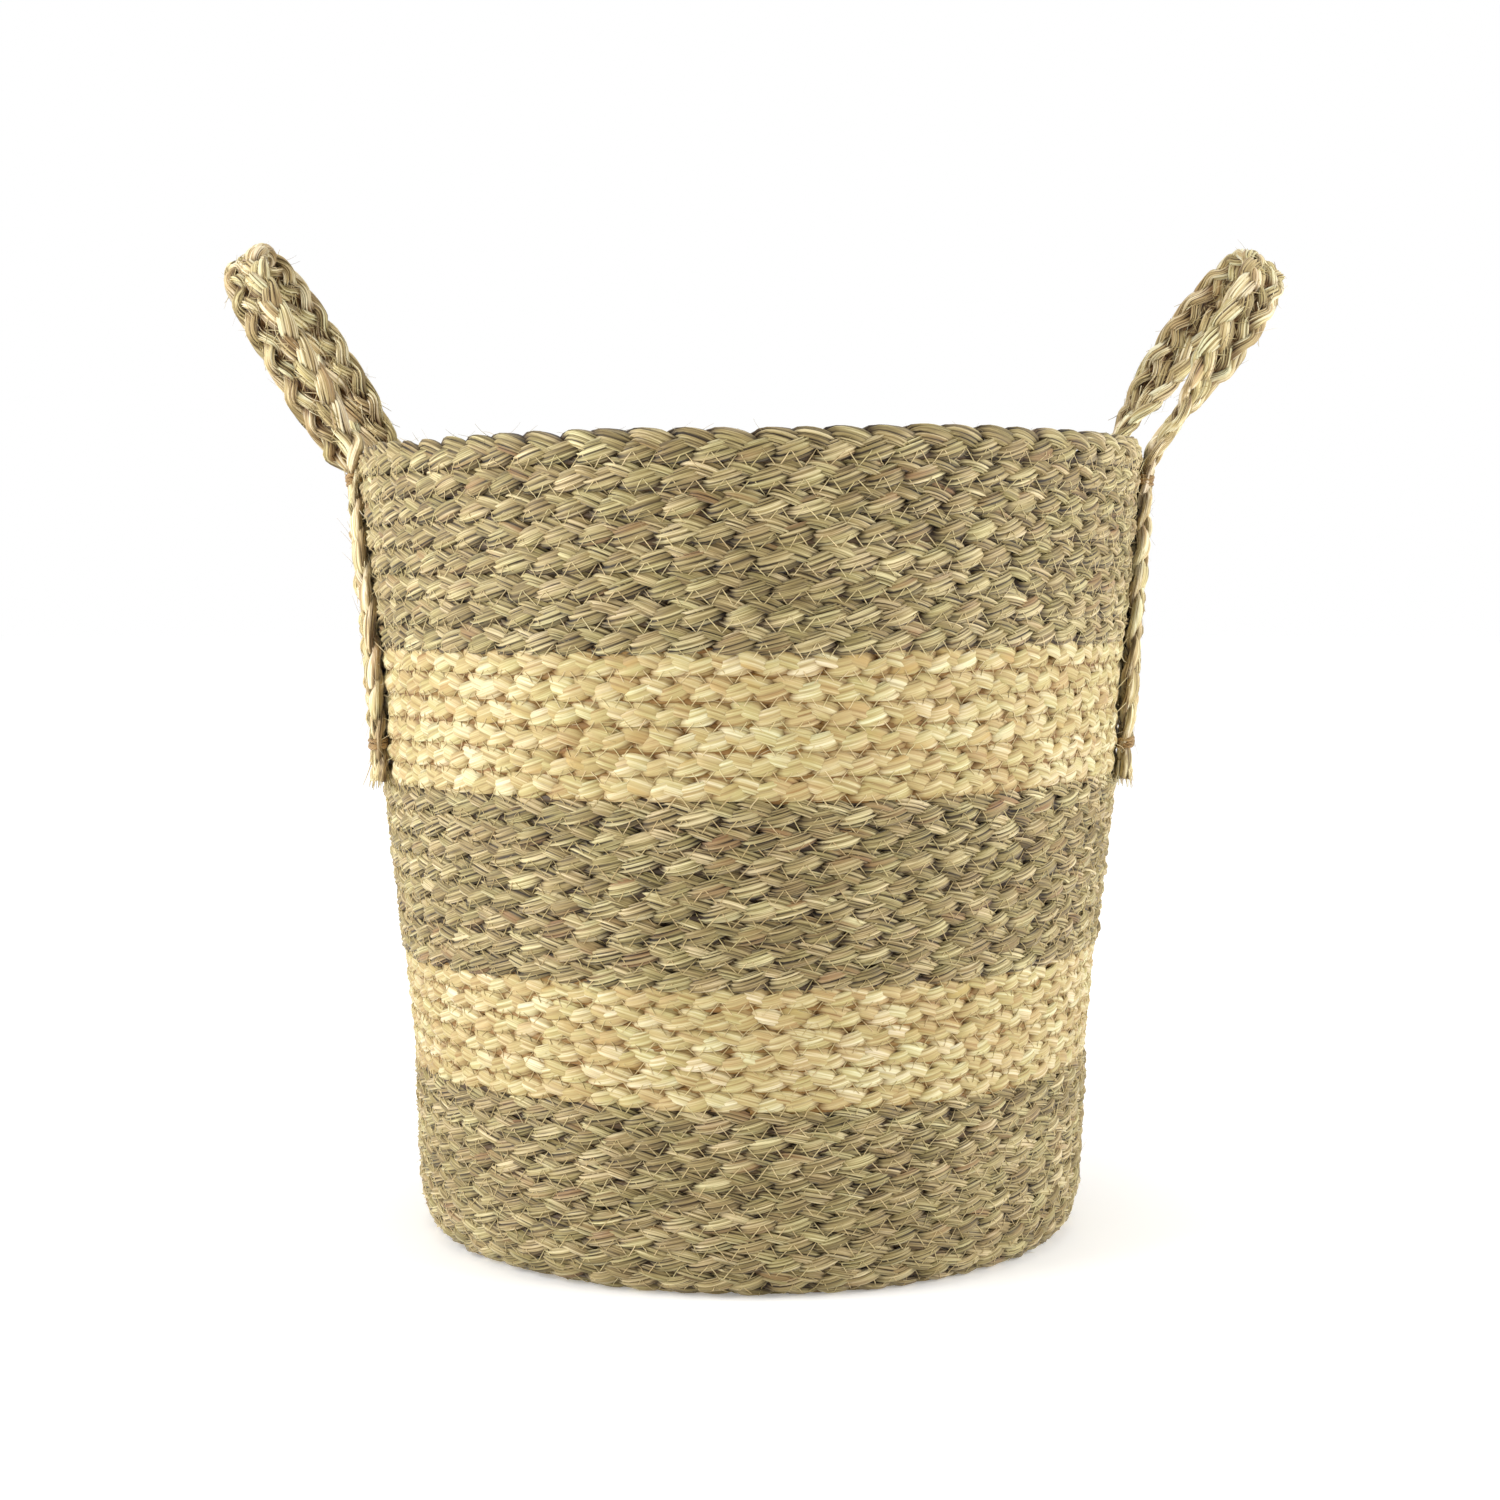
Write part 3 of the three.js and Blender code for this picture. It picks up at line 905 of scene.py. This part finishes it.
def build_strap_thread(name, strap, number):
    """Zigzag stitches that join the strap's two plaits, on both faces."""
    tubes = []
    for side in (-1, 1):
        rng = np.random.default_rng(950 + 10 * number + 2 * side)
        place, offset, fine = zigzag(rng, strap.along[-1], STRAP_STITCH, STRAP_STITCH_REACH, 5)
        centre, across, out, _ = strap.at(place)
        ways = out * side
        points = centre + across * offset[:, None]
        heights = taut(face_heights(points, ways), fine, THREAD_THICKNESS, 0.3 * MM)
        heights = np.minimum(heights, LEG_THICKNESS / 2)
        tubes.append(plain_tube(points + ways * heights[:, None], THREAD_THICKNESS / 2, 4, ways, rng))
    obj = piece(f"{name}_handle_thread", tubes, MATERIALS["thread"], None)
    bend_with_handle(obj)


def squared(value):
    """A sine or cosine pushed outwards, which makes an ellipse of two of them nearly a rectangle."""
    return np.sign(value) * np.abs(value) ** 0.6


def build_lashing(strap, place, height, last_leg, seed):
    """Turns of twisted seagrass round the strap."""
    rng = np.random.default_rng(seed)
    centre, across, out, _ = strap.at(np.array([strap.along_at(height, last_leg)]))
    travel = np.cross(across, out)
    turns, rise = 3.1, 1.35 * MM
    angle = np.linspace(0, turns * TAU, int(turns * 44))
    x = LASHED_WIDTH * 0.47 * squared(np.cos(angle)) * (1 + 0.03 * drift(rng, angle, 2.0)[0])
    y = LEG_THICKNESS * 0.50 * squared(np.sin(angle)) * (1 + 0.05 * drift(rng, angle, 1.6)[0])
    z = rise * (angle / TAU - turns / 2) + 0.5 * MM * drift(rng, angle, 2.4)[0]
    points = centre + across * x[:, None] + out * y[:, None] + travel * z[:, None]
    run = unit(np.gradient(points, axis=0))
    course = Course(
        points, np.broadcast_to(travel, points.shape), np.cross(run, travel), angle * 8 * MM,
        np.full(len(angle), FULL_ROW), np.ones(len(angle)),
    )
    tubes = []
    for part in range(2):
        tubes.append(strand(course, TWISTED_PLY, part * math.pi, rng))
    obj = piece(f"{place}_turns", tubes, MATERIALS["lashing"])
    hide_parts(place)


def build_cut_end(strap, place, last_leg, seed):
    """The ragged cut end of a leg: blades that fan out below the lower lashing."""
    rng = np.random.default_rng(seed)
    start = strap.along_at(LEG_FOOT + 7 * MM, last_leg)
    centre, across, out, width = [values[0] for values in strap.at(np.array([start]))]
    down = np.array([0.0, 0.0, -1.0])
    tubes = []
    for _ in range(CUT_BLADES):
        side = rng.uniform(-1, 1)
        front = rng.uniform(-1, 1)
        root = centre + across * side * width * 0.42 + out * front * LEG_THICKNESS * 0.42
        way = unit(down + across * side * 0.35 + out * front * 0.18 + rng.normal(0, 0.08, 3))
        length = rng.uniform(6.5, 12.5) * MM
        radius = rng.uniform(0.25, 0.55) * MM
        tubes.append(hair(rng, root, way, out, length, radius, rng.uniform(-0.15, 0.15)))
    piece(f"{place}_cut_end", tubes, MATERIALS["strap"])


def build_handle_fibres(name, strap, seed):
    """Loose fibres on the loop, which swing with it, and on the legs, which don't."""
    rng = np.random.default_rng(seed)
    loop, legs = [], []
    along = rng.uniform(0.02, 0.98, HANDLE_FIBRES) * strap.along[-1]
    for middle, side, up, wide in zip(*strap.at(along)):
        angle = rng.uniform(0, TAU)
        off = unit(side * math.cos(angle) + up * math.sin(angle))
        root = middle + side * wide * 0.46 * math.cos(angle) + up * 2.7 * MM * math.sin(angle)
        lying = rng.random() < 0.8
        rise = rng.uniform(0.0, 0.12) if lying else rng.uniform(0.1, 0.7)
        run = np.cross(side, up) * rng.choice([-1, 1])
        way = unit(run + side * rng.uniform(-0.6, 0.6) + off * rise)
        length = rng.uniform(4, 11) * MM
        radius = rng.uniform(0.12, 0.30) * MM if lying else rng.uniform(0.05, 0.13) * MM
        one = hair(rng, root, way, off, length, radius, rng.uniform(-0.4, 0.4))
        height = root[2] - strap.pivot.z
        if height > BEND_LENGTH:
            loop.append(one)
        elif height < -BEND_LENGTH:
            legs.append(one)
    piece(f"{name}_loop_fibres", loop, MATERIALS["strap"], HANDLES[name].body)
    piece(f"{name}_leg_fibres", legs, MATERIALS["strap"])


def build_handles():
    """Both handles. Each part has a seed of its own, so that no two look alike."""
    for number, name in enumerate(HANDLES):
        strap = Strap(name)
        build_strap(name, strap, number)
        build_strap_thread(name, strap, number)
        for leg, (where, side) in enumerate((("front", strap.front), ("rear", -strap.front))):
            seed = 1000 + 10 * number + 4 * leg
            last_leg = side > 0
            build_lashing(strap, f"{name}_{where}_upper_lashing", UPPER_LASHING, last_leg, seed)
            build_lashing(strap, f"{name}_{where}_lower_lashing", LOWER_LASHING, last_leg, seed + 1)
            build_cut_end(strap, f"{name}_{where}", last_leg, seed + 2)
        build_handle_fibres(name, strap, 1100 + number)


build_handles()


# --- the light, floor and camera --------------------------------------------------------
def stage_floor():
    """A white floor that glows a little, and less near the basket, where its shadow shows."""
    mesh = bpy.data.meshes.new("floor")
    half = 12
    corners = [(-half, -half, 0), (half, -half, 0), (half, half, 0), (-half, half, 0)]
    mesh.from_pydata(corners, [], [(0, 1, 2, 3)])
    floor = bpy.data.objects.new("floor", mesh)
    bpy.context.scene.collection.objects.link(floor)
    n = Nodes("floor_white")
    n.shader.inputs["Base Color"].default_value = (0.9, 0.9, 0.9, 1)
    n.shader.inputs["Roughness"].default_value = 0.9
    n.shader.inputs["Specular IOR Level"].default_value = 0.1
    n.shader.inputs["Emission Color"].default_value = (1, 1, 1, 1)
    distance = n.tree.nodes.new("ShaderNodeVectorMath")
    distance.operation = "LENGTH"
    n.put(distance.inputs[0], n.tree.nodes.new("ShaderNodeTexCoord").outputs["Object"])
    near, far = 0.2, 1.2
    dim, bright = 0.22, 0.56
    glow = n.span(distance.outputs["Value"], near, far, dim, bright)
    n.put(n.shader.inputs["Emission Strength"], glow)
    mesh.materials.append(n.material)


def soft_light(name, place, target, size, power):
    """A rectangular light at place that faces target."""
    data = bpy.data.lights.new(name, "AREA")
    data.shape = "RECTANGLE"
    data.size, data.size_y = size
    data.energy = power
    light = bpy.data.objects.new(name, data)
    light.location = place
    light.rotation_euler = (Vector(target) - Vector(place)).to_track_quat("-Z", "Y").to_euler()
    bpy.context.scene.collection.objects.link(light)


def studio():
    """A white surround that lights softly, with a large soft light on each side."""
    world = bpy.data.worlds.new("studio")
    world.use_nodes = True
    tree = world.node_tree
    surround = tree.nodes["Background"]
    surround.inputs["Color"].default_value = (1, 1, 1, 1)
    seen = tree.nodes.new("ShaderNodeLightPath").outputs["Is Camera Ray"]
    strength = tree.nodes.new("ShaderNodeMapRange")
    strength.inputs["To Min"].default_value = 0.5
    strength.inputs["To Max"].default_value = 1.0
    tree.links.new(seen, strength.inputs["Value"])
    tree.links.new(strength.outputs["Result"], surround.inputs["Strength"])
    bpy.context.scene.world = world
    middle = (0, 0, 0.2)
    soft_light("left_softbox", (-1.5, -0.6, 0.7), middle, (1.2, 1.5), 30)
    soft_light("right_softbox", (1.6, -0.5, 0.7), middle, (1.2, 1.5), 25)
    soft_light("top_softbox", (0, 0.2, 2.2), middle, (1.6, 1.6), 16)
    bpy.context.scene.view_settings.view_transform = "Standard"


def camera():
    """The photograph's view: a little above the basket's middle, tipped slightly down."""
    data = bpy.data.cameras.new("camera")
    data.lens = 59.8  # millimetres, as is the sensor's width
    data.sensor_width = 36
    obj = bpy.data.objects.new("camera", data)
    obj.location = (0, -1.11, 0.2819)
    obj.rotation_euler = (math.radians(90 - 3.81), 0, 0)
    bpy.context.scene.collection.objects.link(obj)
    bpy.context.scene.camera = obj


stage_floor()
studio()
camera()
